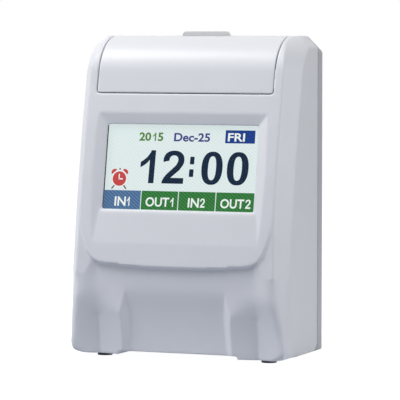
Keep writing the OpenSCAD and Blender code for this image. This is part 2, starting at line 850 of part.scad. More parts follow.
module roller_shaft(y, x0) {
    union() {
        rod_x(shaft_r, x0, plate_out + 2, y, feed_z);
        both_sides()
            rod_x(shaft_r + 1.3, chassis_half - 3.2, chassis_half - 1.5, y, feed_z);
    }
}

module rollers(y) {
    both_sides() difference() {
        rod_x(roller_r, roller_x - roller_w / 2, roller_x + roller_w / 2, y, feed_z);
        rod_x(shaft_r, roller_x - roller_w / 2 - 1, roller_x + roller_w / 2 + 1, y, feed_z);
    }
}

module feed_shaft() {
    color([0.75, 0.76, 0.78]) roller_shaft(feed_y, -plate_out - 13);
}

module feed_rollers() {
    color([0.12, 0.12, 0.12]) rollers(feed_y);
}

module pinch_shaft() {
    color([0.75, 0.76, 0.78]) roller_shaft(pinch_y, -plate_out - 2);
}

module pinch_rollers() {
    color([0.12, 0.12, 0.12]) rollers(pinch_y);
}

module feed_motor() {
    color([0.5, 0.51, 0.53]) difference() {
        box(-plate_out - 22, -plate_out, feed_y - 17, feed_y + 15, feed_z - 17, feed_z + 17);
        rod_x(shaft_r + run_gap, -plate_out - 14, -plate_out + 1, feed_y, feed_z);
        rod_x(shaft_r + 2, -plate_out - 1, -plate_out + 1, pinch_y, feed_z);
    }
}

module shaft_bushes() {
    color([0.72, 0.6, 0.3])
        for (y = [feed_y, pinch_y])
            both_sides() difference() {
                union() {
                    rod_x(bush_r, chassis_half - 1.2, plate_out, y, feed_z);
                    rod_x(bush_rim, chassis_half - 1.2, chassis_half, y, feed_z);
                }
                rod_x(shaft_r + run_gap, chassis_half - 3, plate_out + 1, y, feed_z);
            }
}

// Ribbon cassette

module ribbon_cassette() {
    color([0.14, 0.14, 0.16]) difference() {
        union() {
            box(-chassis_half + 1, chassis_half - 1, knob_y - 3.5, knob_y + 3.5, head_z0 + 2, plate_top + 3);
            both_sides() {
                box(chassis_half - 8, chassis_half - 1, knob_y + 2.5, guide_f0 - 0.3, head_z0 + 2, plate_top + 3);
                box(chassis_half - 2, plate_out, -10, 8, plate_top, plate_top + 3);
            }
        }
        translate([knob_x, knob_y, plate_top - 5]) cylinder(r = 1.5 + run_gap, h = 10);
    }
}

module ribbon_band() {
    color([0.1, 0.1, 0.3])
        box(-chassis_half + 8, chassis_half - 8, guide_f0 - 0.8, guide_f0 - 0.4, head_z0 + 2.5, head_z0 + 13);
}

module ribbon_knob() {
    color([0.25, 0.45, 0.7]) translate([knob_x, knob_y, 0]) difference() {
        union() {
            translate([0, 0, plate_top - 4.5]) cylinder(r = 1.5, h = 9);
            translate([0, 0, plate_top + 3]) cylinder(r = 3.3, h = 6);
        }
        box(-0.5, 0.5, -4, 4, plate_top + 8, plate_top + 10);
    }
}

// Electronics

module main_board() {
    color([0.1, 0.35, 0.2]) difference() {
        box(-board_half, board_half, board_y, board_y + 1.6, board_z, board_z + board_h);
        for (x = [-board_fix_x, board_fix_x], z = board_fix_z)
            rod_y(1.25 + fix_gap, x, board_y - 1, board_y + 3, z);
    }
}

module board_parts() {
    color([0.1, 0.1, 0.11]) {
        translate([0, board_y, board_z]) {
            box(-22, 6, -2.5, 0, 60, 88);
            box(20, 34, -2, 0, 70, 82);
            box(-50, -36, -2, 0, 40, 60);
            box(-40, -4, -6, 0, 104, 112);
            box(4, 40, -6, 0, 104, 112);
            rod_y(4, -48, -5, 0, 20);
            rod_y(4, -34, -5, 0, 20);
            rod_y(3.5, 40, -5, 0, 50);
        }
    }
}

module board_screws() {
    color([0.6, 0.61, 0.63])
        for (x = [-board_fix_x, board_fix_x], z = board_fix_z) {
            rod_y(1.25, x, board_y - 0.1, board_y + 5, z);
            rod_y(2.4, x, board_y - 1.8, board_y, z);
        }
}

module buzzer() {
    color([0.1, 0.1, 0.1]) difference() {
        rod_y(7, jack_x, board_y - 6, board_y, board_z + 20);
        rod_y(1.2, jack_x, board_y - 7, board_y - 3, board_z + 20);
    }
}

module dc_jack() {
    color([0.1, 0.1, 0.11]) union() {
        difference() {
            union() {
                box(jack_x - 7, jack_x + 7, rear_y - wall - 12, rear_y - wall - 0.05, jack_z - 7, jack_z + 7);
                rod_y(5.5, jack_x, rear_y - wall - 1, rear_y, jack_z);
            }
            rod_y(jack_r, jack_x, rear_y - wall - 9, rear_y + 1, jack_z);
        }
        rod_y(1, jack_x, rear_y - wall - 10, rear_y - 1.5, jack_z);
    }
}

module battery_pack() {
    color([0.2, 0.45, 0.3]) union() {
        box(battery_x, battery_x + 54, -9, 24, floor_z, floor_z + 3);
        for (i = [0:2])
            rod_x(5.3, battery_x + 2, battery_x + 52, -3 + 10.4 * i, floor_z + 7);
    }
}

module rubber_feet() {
    color([0.08, 0.08, 0.08])
        for (x = [-foot_x, foot_x], y = [-22, seam_y + 12])
            translate([x, y, 0]) cylinder(r = foot_r, h = foot_h);
}

module case_screws() {
    color([0.6, 0.61, 0.63])
        for (z = case_fix_z)
            both_sides() {
                rod_y(fix_r, case_fix_x, 12, seat_y + 0.1, z);
                rod_y(2.8, case_fix_x, seat_y, seat_y + 2.4, z);
            }
}

module chassis_screws() {
    color([0.6, 0.61, 0.63])
        for (x = [-post_x, post_x], y = post_y)
            translate([x, y, 0]) {
                translate([0, 0, base_z - 14]) cylinder(r = fix_r, h = flange_z - base_z + 14.1);
                translate([0, 0, flange_z]) cylinder(r = 2.8, h = 2.2);
            }
}

front_case();
rear_cover();
top_lid();
lid_pins();
card_throat();
display_window();
lcd_panel();
lcd_frame();
display_board();
frame_screws();
key_board();
key_strip();
set_key_1();
set_key_2();
set_key_3();
set_key_4();
set_key_5();
chassis_base();
plate_left();
plate_right();
front_guide();
rear_guide();
platen();
carriage_rods();
carriage();
print_head();
lead_screw();
carriage_motor();
feed_shaft();
feed_rollers();
feed_motor();
pinch_shaft();
pinch_rollers();
shaft_bushes();
ribbon_cassette();
ribbon_band();
ribbon_knob();
card_sensor();
main_board();
board_parts();
board_screws();
buzzer();
dc_jack();
battery_pack();
rubber_feet();
case_screws();
chassis_screws();
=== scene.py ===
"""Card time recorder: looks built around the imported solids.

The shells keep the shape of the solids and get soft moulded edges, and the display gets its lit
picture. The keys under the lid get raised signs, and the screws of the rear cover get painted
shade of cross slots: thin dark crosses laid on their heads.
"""

import logging
import math
from dataclasses import dataclass
from enum import Enum

import bmesh
import bpy
from mathutils import Matrix, Vector


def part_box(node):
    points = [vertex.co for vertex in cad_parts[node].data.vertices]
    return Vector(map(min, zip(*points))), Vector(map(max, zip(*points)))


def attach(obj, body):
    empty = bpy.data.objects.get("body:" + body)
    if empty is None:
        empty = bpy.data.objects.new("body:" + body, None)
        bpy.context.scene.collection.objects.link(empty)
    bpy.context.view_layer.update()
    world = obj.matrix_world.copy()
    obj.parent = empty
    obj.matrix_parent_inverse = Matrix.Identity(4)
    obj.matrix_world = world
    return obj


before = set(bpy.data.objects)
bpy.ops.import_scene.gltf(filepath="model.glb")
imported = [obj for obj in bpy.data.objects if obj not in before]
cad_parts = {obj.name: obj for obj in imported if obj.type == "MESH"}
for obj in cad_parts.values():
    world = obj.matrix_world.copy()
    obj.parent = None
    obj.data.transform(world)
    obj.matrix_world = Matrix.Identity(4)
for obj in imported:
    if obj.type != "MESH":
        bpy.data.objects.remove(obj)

LOG = logging.getLogger("time_recorder")
MM = 0.001
Colour = tuple[float, float, float]
Socket = bpy.types.NodeSocket

# Sockets of the mix node that hold colours
MIX_FIRST, MIX_SECOND, MIX_RESULT = 6, 7, 2
# Range in which nearly all values of a noise lie
NOISE_LOW, NOISE_HIGH = 0.3, 0.7
# Rays that soften a sharp edge in a material
EDGE_SAMPLES = 6
WELD_MM = 0.01


def linear(red: int, green: int, blue: int) -> Colour:
    """Turns a colour written in 0 to 255 steps of the sRGB curve into linear values."""
    parts = [value / 255 for value in (red, green, blue)]
    return tuple(v / 12.92 if v <= 0.04045 else ((v + 0.055) / 1.055) ** 2.4 for v in parts)


def shade(colour: Colour, factor: float) -> tuple[float, float, float, float]:
    """Returns the colour made lighter or darker, with full cover."""
    return tuple(min(1.0, part * factor) for part in colour) + (1.0,)


class NodeSheet:
    """The node tree of one material, with short calls for the nodes that the finishes share."""

    def __init__(self, name: str) -> None:
        """Makes an empty material that ends in one surface shader.

        Args:
            name: Name of the material.
        """
        self.material = bpy.data.materials.new(name)
        self.material.use_nodes = True
        self.tree = self.material.node_tree
        self.tree.nodes.clear()
        output = self.add("ShaderNodeOutputMaterial")
        self.shader = self.add("ShaderNodeBsdfPrincipled")
        self.link(self.shader.outputs["BSDF"], output.inputs["Surface"])
        self.place = self.add("ShaderNodeTexCoord").outputs["Object"]

    def add(self, kind: str, **values: object) -> bpy.types.Node:
        """Adds a node.

        Args:
            kind: Blender's name of the node type.
            values: Properties of the node, or values of its inputs by name.

        Returns:
            The new node.
        """
        node = self.tree.nodes.new(kind)
        for key, value in values.items():
            socket = node.inputs.get(key.replace("_", " "))
            if hasattr(node, key):
                setattr(node, key, value)
            elif socket is not None:
                socket.default_value = value
        return node

    def link(self, start: Socket, end: Socket) -> None:
        """Joins two sockets."""
        self.tree.links.new(start, end)

    def mapped(self, way: str, amounts: tuple[float, float, float]) -> Socket:
        """Returns the object's coordinates, turned or scaled along each axis.

        Args:
            way: Rotation or Scale.
            amounts: Angles in radians, or factors.

        Returns:
            The new coordinates.
        """
        node = self.add("ShaderNodeMapping")
        node.inputs[way].default_value = amounts
        self.link(self.place, node.inputs["Vector"])
        return node.outputs["Vector"]

    def noise(self, size_mm: float, detail: float = 2.0, place: Socket | None = None) -> Socket:
        """Returns a soft noise.

        Args:
            size_mm: Size of one grain in millimetres.
            detail: Number of finer layers.
            place: Coordinates to use in place of the object's own.

        Returns:
            The noise value.
        """
        node = self.add("ShaderNodeTexNoise", Scale=1 / MM / size_mm, Detail=detail, Roughness=0.55)
        self.link(place or self.place, node.inputs["Vector"])
        return node.outputs["Fac"]

    def mix(self, factor: Socket, first: tuple, second: tuple) -> Socket:
        """Mixes two colours by a factor.

        Args:
            factor: 0 for the first colour, 1 for the second.
            first: One colour, with its cover.
            second: The other colour, with its cover.

        Returns:
            The mixed colour.
        """
        node = self.add("ShaderNodeMix", data_type="RGBA")
        self.link(factor, node.inputs["Factor"])
        node.inputs[MIX_FIRST].default_value = first
        node.inputs[MIX_SECOND].default_value = second
        return node.outputs[MIX_RESULT]

    def graded(self, factor: Socket, colour: Colour, low: float, high: float) -> Socket:
        """Returns a colour that goes from one shade of itself to another, by a factor."""
        return self.mix(factor, shade(colour, low), shade(colour, high))

    def between(self, noise: Socket, low: float, high: float) -> Socket:
        """Spreads a noise over a new range.

        Args:
            noise: The noise value.
            low: Lower end of the range.
            high: Upper end of the range.

        Returns:
            The new value.
        """
        node = self.add("ShaderNodeMapRange")
        for name, number in (("From Min", NOISE_LOW), ("From Max", NOISE_HIGH),
                             ("To Min", low), ("To Max", high)):
            node.inputs[name].default_value = number
        self.link(noise, node.inputs["Value"])
        return node.outputs["Result"]

    def relief(self, height: Socket, strength: float, depth_mm: float,
               edge_mm: float = 0.0) -> None:
        """Gives the surface a fine relief.

        Args:
            height: The height of the relief, from 0 to 1.
            strength: How strongly it shows.
            depth_mm: Its depth in millimetres.
            edge_mm: Radius to which sharp edges are softened.
        """
        bump = self.add("ShaderNodeBump")
        bump.inputs["Strength"].default_value = strength
        bump.inputs["Distance"].default_value = depth_mm * MM
        self.link(height, bump.inputs["Height"])
        if edge_mm > 0:
            soft = self.add("ShaderNodeBevel", samples=EDGE_SAMPLES)
            soft.inputs["Radius"].default_value = edge_mm * MM
            self.link(soft.outputs["Normal"], bump.inputs["Normal"])
        self.link(bump.outputs["Normal"], self.shader.inputs["Normal"])

    def set(self, **values: object) -> None:
        """Sets plain values on the surface shader's own sockets."""
        for key, value in values.items():
            self.shader.inputs[key.replace("_", " ")].default_value = value

    def feed(self, **results: Socket) -> None:
        """Joins results to the surface shader's own sockets."""
        for key, result in results.items():
            self.link(result, self.shader.inputs[key.replace("_", " ")])


@dataclass(frozen=True)
class MouldedPlastic:
    """Moulded plastic with a fine spark texture and a faint drift of colour."""

    name: str
    colour: Colour
    roughness: float = 0.36
    spread: float = 0.05
    gloss: float = 0.4
    grain_mm: float = 0.45
    depth_mm: float = 0.02
    strength: float = 0.35
    drift: float = 0.025
    drift_mm: float = 38.0
    edge_mm: float = 0.5

    def material(self) -> bpy.types.Material:
        """Makes the nodes of this finish.

        Returns:
            The finished material.
        """
        sheet = NodeSheet(self.name)
        drift = sheet.noise(self.drift_mm, 3.0)
        grain = sheet.noise(self.grain_mm)
        rough = sheet.between(grain, self.roughness - self.spread, self.roughness + self.spread)
        sheet.feed(Base_Color=sheet.graded(drift, self.colour, 1 - self.drift, 1 + self.drift),
                   Roughness=rough)
        sheet.relief(grain, self.strength, self.depth_mm, self.edge_mm)
        sheet.set(Specular_IOR_Level=self.gloss)
        return sheet.material


@dataclass(frozen=True)
class DrawnMetal:
    """Bare metal with fine lines from rolling or turning, and faint stains.

    The lines are counted per metre along each axis.
    """

    name: str
    colour: Colour
    roughness: float = 0.34
    lines: tuple[float, float, float] = (40.0, 2500.0, 2500.0)
    smoother: float = 0.09
    rougher: float = 0.1
    strength: float = 0.2
    depth_mm: float = 0.01
    stain_mm: float = 14.0
    stain_dark: float = 0.86
    stain_light: float = 1.08
    edge_mm: float = 0.15

    def material(self) -> bpy.types.Material:
        """Makes the nodes of this finish.

        Returns:
            The finished material.
        """
        sheet = NodeSheet(self.name)
        metre = 1 / MM
        lines = sheet.noise(metre, 3.0, sheet.mapped("Scale", self.lines))
        stain = sheet.noise(self.stain_mm, 3.0)
        rough = sheet.between(lines, self.roughness - self.smoother, self.roughness + self.rougher)
        sheet.feed(Base_Color=sheet.graded(stain, self.colour, self.stain_dark, self.stain_light),
                   Roughness=rough)
        sheet.relief(lines, self.strength, self.depth_mm, self.edge_mm)
        sheet.set(Metallic=1.0)
        return sheet.material


@dataclass(frozen=True)
class EtchedBoard:
    """Circuit board with green lacquer over raised copper lines."""

    name: str
    colour: Colour
    line_mm: float = 0.4
    long_mm: float = 11.0
    row_mm: float = 2.4
    soft: float = 0.2
    field_dark: float = 0.9
    line_light: float = 1.75
    grain_mm: float = 3.0
    rough: tuple[float, float] = (0.25, 0.42)
    strength: float = 0.4
    depth_mm: float = 0.03

    def material(self) -> bpy.types.Material:
        """Makes the nodes of this finish.

        Returns:
            The finished material.
        """
        sheet = NodeSheet(self.name)
        lines = sheet.add("ShaderNodeTexBrick", Scale=1.0)
        for key, value in (("Mortar Size", self.line_mm * MM), ("Brick Width", self.long_mm * MM),
                           ("Row Height", self.row_mm * MM), ("Mortar Smooth", self.soft),
                           ("Color1", shade(self.colour, 1.0)),
                           ("Color2", shade(self.colour, self.field_dark)),
                           ("Mortar", shade(self.colour, self.line_light))):
            lines.inputs[key].default_value = value
        sheet.link(sheet.mapped("Rotation", (math.radians(90), 0, 0)), lines.inputs["Vector"])
        grain = sheet.noise(self.grain_mm)
        sheet.feed(Base_Color=lines.outputs["Color"], Roughness=sheet.between(grain, *self.rough))
        sheet.relief(lines.outputs["Fac"], self.strength, self.depth_mm)
        return sheet.material


@dataclass(frozen=True)
class DullRubber:
    """Dark rubber with a matt, slightly dusty skin."""

    name: str
    colour: Colour
    roughness: float = 0.72
    spread: float = 0.08
    dust_mm: float = 4.0
    dust_dark: float = 0.75
    dust_light: float = 1.7
    pore_mm: float = 0.3
    strength: float = 0.5
    depth_mm: float = 0.04
    edge_mm: float = 0.3

    def material(self) -> bpy.types.Material:
        """Makes the nodes of this finish.

        Returns:
            The finished material.
        """
        sheet = NodeSheet(self.name)
        dust = sheet.noise(self.dust_mm, 4.0)
        pores = sheet.noise(self.pore_mm)
        rough = sheet.between(pores, self.roughness - self.spread, self.roughness + self.spread)
        sheet.feed(Base_Color=sheet.graded(dust, self.colour, self.dust_dark, self.dust_light),
                   Roughness=rough)
        sheet.relief(pores, self.strength, self.depth_mm, self.edge_mm)
        return sheet.material


@dataclass(frozen=True)
class ClearPane:
    """Clear window in front of the display, with the faint unevenness of a cast sheet."""

    name: str
    colour: Colour
    cover: float = 0.015
    gloss: float = 0.12
    haze_mm: float = 22.0
    haze_dark: float = 0.96
    rough: tuple[float, float] = (0.16, 0.24)

    def material(self) -> bpy.types.Material:
        """Makes the nodes of this finish.

        Returns:
            The finished material.
        """
        sheet = NodeSheet(self.name)
        haze = sheet.noise(self.haze_mm)
        sheet.feed(Base_Color=sheet.graded(haze, self.colour, self.haze_dark, 1.0),
                   Roughness=sheet.between(haze, *self.rough))
        sheet.set(Alpha=self.cover, Specular_IOR_Level=self.gloss)
        sheet.material.blend_method = "BLEND"
        return sheet.material


@dataclass(frozen=True)
class LitColour:
    """One colour of the lit display, broken up by the fine slanting lines of its cells."""

    name: str
    colour: Colour
    contrast: float
    layer: int = 1
    glow: float = 0.8
    slant_deg: float = 52.0
    fineness: float = 150.0
    unlit: tuple[float, float] = (0.18, 0.22)

    def material(self) -> bpy.types.Material:
        """Makes the nodes of this finish.

        Returns:
            The finished material.
        """
        sheet = NodeSheet(self.name)
        lines = sheet.add("ShaderNodeTexWave", Scale=self.fineness)
        turned = sheet.mapped("Rotation", (0, math.radians(self.slant_deg), 0))
        sheet.link(turned, lines.inputs["Vector"])
        band = lines.outputs["Fac"]
        lit = sheet.graded(band, self.colour, 1 - self.contrast, 1 + self.contrast)
        sheet.feed(Base_Color=sheet.graded(band, self.colour, *self.unlit), Emission_Color=lit)
        sheet.set(Emission_Strength=self.glow, Roughness=0.6, Specular_IOR_Level=0.0)
        return sheet.material


@dataclass(frozen=True)
class WovenBand:
    """Inked fabric ribbon."""

    name: str
    colour: Colour
    fineness: float = 4000.0
    thread_dark: float = 0.7
    thread_light: float = 1.4
    strength: float = 0.5
    depth_mm: float = 0.05

    def material(self) -> bpy.types.Material:
        """Makes the nodes of this finish.

        Returns:
            The finished material.
        """
        sheet = NodeSheet(self.name)
        weave = sheet.add("ShaderNodeTexChecker", Scale=self.fineness)
        sheet.link(sheet.place, weave.inputs["Vector"])
        thread = weave.outputs["Fac"]
        colour = sheet.graded(thread, self.colour, self.thread_dark, self.thread_light)
        sheet.feed(Base_Color=colour)
        sheet.relief(thread, self.strength, self.depth_mm)
        sheet.set(Roughness=0.85, Sheen_Weight=0.2)
        return sheet.material


class Finish(Enum):
    """The finishes of the time recorder, by what they are on."""

    CASE = MouldedPlastic("case_plastic", linear(222, 224, 230), roughness=0.4, edge_mm=0.6,
                          gloss=0.32)
    LID = MouldedPlastic("lid_plastic", linear(222, 224, 229), roughness=0.35, gloss=0.42)
    # The rear cover's colour is darker than the case's to stand in for the shade on the back:
    # painted shade.
    REAR = MouldedPlastic("rear_plastic", linear(165, 168, 174), roughness=0.45, edge_mm=0.6,
                          gloss=0.25)
    # The throat's colour is lighter than the case's to make up for the light that its front misses
    # under the lid: painted light.
    THROAT = MouldedPlastic("throat_plastic", linear(238, 240, 243), edge_mm=0.4)
    DARK = MouldedPlastic("dark_plastic", linear(44, 45, 49), roughness=0.45, edge_mm=0.25)
    STRIP = MouldedPlastic("key_strip_plastic", linear(96, 100, 107), roughness=0.42, edge_mm=0.25)
    KEY = MouldedPlastic("key_cap_plastic", linear(72, 112, 168), roughness=0.33, edge_mm=0.35)
    SIGN = MouldedPlastic("key_sign", linear(236, 239, 242), roughness=0.4, grain_mm=0.2,
                          edge_mm=0.0)
    SCREEN_EDGE = MouldedPlastic("screen_edge", linear(52, 55, 60), roughness=0.4, edge_mm=0.0)
    WRAP = MouldedPlastic("battery_wrap", linear(46, 108, 74), roughness=0.28, edge_mm=0.2)
    STEEL = DrawnMetal("zinc_sheet", linear(196, 199, 203), 0.36, (40.0, 900.0, 40.0))
    ROD = DrawnMetal("ground_rod", linear(212, 214, 217), 0.2, (2500.0, 40.0, 40.0))
    SCREW = DrawnMetal("zinc_screw", linear(188, 190, 193), 0.33, (900.0, 900.0, 900.0))
    CAN = DrawnMetal("motor_can", linear(168, 170, 174), 0.4, (2200.0, 60.0, 60.0))
    BRONZE = DrawnMetal("bush_bronze", linear(184, 142, 84), 0.38, (2200.0, 60.0, 60.0))
    BOARD = EtchedBoard("circuit_board", linear(28, 92, 58))
    RUBBER = DullRubber("foot_rubber", linear(84, 85, 90))
    ROLLER = DullRubber("roller_rubber", linear(48, 48, 50), 0.65)
    PANE = ClearPane("window_pane", linear(236, 244, 244))
    RIBBON = WovenBand("ribbon_cloth", linear(34, 34, 62))


class Finishes:
    """Makes each finish once and hands it out again."""

    def __init__(self) -> None:
        """Starts with no material made."""
        self.made: dict[str, bpy.types.Material] = {}

    def get(self, finish: Enum) -> bpy.types.Material:
        """Hands out the material of a finish, made on first use.

        Args:
            finish: A finish, or a colour of the display.

        Returns:
            Its material.
        """
        recipe = finish.value
        if recipe.name not in self.made:
            self.made[recipe.name] = recipe.material()
        return self.made[recipe.name]

    def dress(self, piece: bpy.types.Object, finish: Enum) -> None:
        """Gives a piece one finish all over."""
        piece.data.materials.clear()
        piece.data.materials.append(self.get(finish))


@dataclass(frozen=True)
class Lamp:
    """One soft square lamp that faces the object. Places are in metres, power in watts."""

    name: str
    place: tuple[float, float, float]
    power: float
    colour: Colour
    side: float = 0.8


@dataclass
class Studio:
    """Floor, light and camera around the object. None of it belongs to the part."""

    azimuth_deg: float = 22.0
    pitch_deg: float = 3.48
    distance_m: float = 2.147
    lens_mm: float = 243.0
    sensor_mm: float = 36.0
    target_m: tuple[float, float, float] = (0.0025, 0.001, 0.1241)
    ambient: float = 0.02
    ambient_colour: Colour = (0.93, 0.96, 1.0)
    floor_reach_m: float = 6.0
    floor_steps: int = 12
    floor_glow: float = 0.96
    floor_grain_mm: float = 6.0
    floor_colours: tuple[Colour, Colour] = ((0.4, 0.43, 0.5), (0.44, 0.47, 0.54))
    lamps: tuple[Lamp, ...] = (
        Lamp("top_left_lamp", (-1.0, -0.5, 1.7), 23.5, (1.0, 0.99, 0.97)),
        Lamp("left_lamp", (-1.8, -1.0, 0.9), 9.5, (1.0, 0.985, 0.96)),
        Lamp("front_lamp", (0.2, -1.2, 1.8), 14.5, (0.965, 0.98, 1.0)),
        Lamp("right_lamp", (1.8, -0.1, 0.6), 13.5, (1.0, 0.985, 0.965)),
    )

    def build(self) -> None:
        """Sets up the floor, the light and the camera."""
        bpy.context.scene.view_settings.view_transform = "Standard"
        self.floor()
        self.sky()
        for lamp in self.lamps:
            self.light(lamp)
        self.camera()

    def floor(self) -> None:
        """Makes the pale floor, which shows white and keeps the object's shadow."""
        mesh = bpy.data.meshes.new("floor")
        grid = bmesh.new()
        bmesh.ops.create_grid(grid, x_segments=self.floor_steps, y_segments=self.floor_steps,
                              size=self.floor_reach_m)
        grid.to_mesh(mesh)
        grid.free()
        floor = bpy.data.objects.new("floor", mesh)
        bpy.context.scene.collection.objects.link(floor)
        sheet = NodeSheet("floor_paper")
        darker, lighter = (colour + (1.0,) for colour in self.floor_colours)
        lift = sheet.add("ShaderNodeMath", operation="MULTIPLY")
        lift.inputs[1].default_value = self.floor_glow
        sheet.link(self.seen_rays(sheet.tree), lift.inputs[0])
        paper = sheet.mix(sheet.noise(self.floor_grain_mm), darker, lighter)
        sheet.feed(Base_Color=paper, Emission_Strength=lift.outputs[0])
        sheet.set(Roughness=0.9, Specular_IOR_Level=0.05, Emission_Color=(1, 1, 1, 1))
        mesh.materials.append(sheet.material)

    def seen_rays(self, tree: bpy.types.NodeTree) -> Socket:
        """Tells the rays that show the background: straight on, in gloss or through glass.

        Args:
            tree: The node tree to add to.

        Returns:
            1 for such a ray and 0 for any other.
        """
        path = tree.nodes.new("ShaderNodeLightPath")
        total = path.outputs["Is Camera Ray"]
        for name in ("Is Glossy Ray", "Is Transmission Ray"):
            either = tree.nodes.new("ShaderNodeMath")
            either.operation = "MAXIMUM"
            tree.links.new(total, either.inputs[0])
            tree.links.new(path.outputs[name], either.inputs[1])
            total = either.outputs[0]
        return total

    def sky(self) -> None:
        """Makes the even light from all round, and the white that the camera sees."""
        world = bpy.data.worlds.new("studio")
        bpy.context.scene.world = world
        world.use_nodes = True
        tree = world.node_tree
        tree.nodes.clear()
        out = tree.nodes.new("ShaderNodeOutputWorld")
        both = tree.nodes.new("ShaderNodeMixShader")
        soft = tree.nodes.new("ShaderNodeBackground")
        soft.inputs["Color"].default_value = self.ambient_colour + (1.0,)
        soft.inputs["Strength"].default_value = self.ambient
        white = tree.nodes.new("ShaderNodeBackground")
        white.inputs["Color"].default_value = (1, 1, 1, 1)
        tree.links.new(self.seen_rays(tree), both.inputs[0])
        tree.links.new(soft.outputs[0], both.inputs[1])
        tree.links.new(white.outputs[0], both.inputs[2])
        tree.links.new(both.outputs[0], out.inputs["Surface"])

    def light(self, lamp: Lamp) -> None:
        """Hangs up one lamp and turns it to the object.

        Args:
            lamp: The lamp.
        """
        data = bpy.data.lights.new(lamp.name, "AREA")
        data.size = lamp.side
        data.energy = lamp.power
        data.color = lamp.colour
        piece = bpy.data.objects.new(lamp.name, data)
        piece.location = lamp.place
        towards = Vector(self.target_m) - Vector(lamp.place)
        piece.rotation_euler = towards.to_track_quat("-Z", "Y").to_euler()
        bpy.context.scene.collection.objects.link(piece)

    def camera(self) -> None:
        """Stands the camera where the photograph was taken from."""
        data = bpy.data.cameras.new("camera")
        data.lens = self.lens_mm
        data.sensor_width = self.sensor_mm
        data.clip_start, data.clip_end = 0.05, 50.0
        turn, pitch = math.radians(self.azimuth_deg), math.radians(self.pitch_deg)
        back = Vector((math.sin(turn) * math.cos(pitch), -math.cos(turn) * math.cos(pitch),
                       math.sin(pitch)))
        camera = bpy.data.objects.new("camera", data)
        camera.location = Vector(self.target_m) + back * self.distance_m
        camera.rotation_euler = (-back).to_track_quat("-Z", "Y").to_euler()
        bpy.context.scene.collection.objects.link(camera)
        bpy.context.scene.camera = camera


@dataclass(frozen=True)
class Blend:
    """A box in which the surface of a shell flows over its edges.

    Lengths are in millimetres. The box is the same on the left and on the right.
    """

    across: tuple[float, float]
    deep: tuple[float, float]
    high: tuple[float, float]
    border: float
    strength: float = 1.0


@dataclass(frozen=True)
class Softening:
    """How a shell is rounded.

    The shell gets an even mesh of small cells, is rounded in some passes all over, and flows in
    further passes inside its boxes.
    """

    cell_mm: float
    passes: int = 2
    flows: int = 0
    blends: tuple[Blend, ...] = ()


class Softness(Enum):
    """The rounding of each shell."""

    CASE = Softening(0.8, flows=110, blends=(
        Blend((-10.0, 36.0), (-70.0, -22.0), (46.0, 64.0), 6.0),
        Blend((52.0, 100.0), (-70.0, -14.0), (40.0, 62.0), 6.0),
        Blend((82.0, 115.0), (-75.0, -9.0), (19.0, 58.0), 11.0),
        Blend((84.0, 110.0), (-70.0, -14.0), (-10.0, 12.0), 5.0, 0.2),
    ))
    LID = Softening(0.7)
    REAR = Softening(0.9)


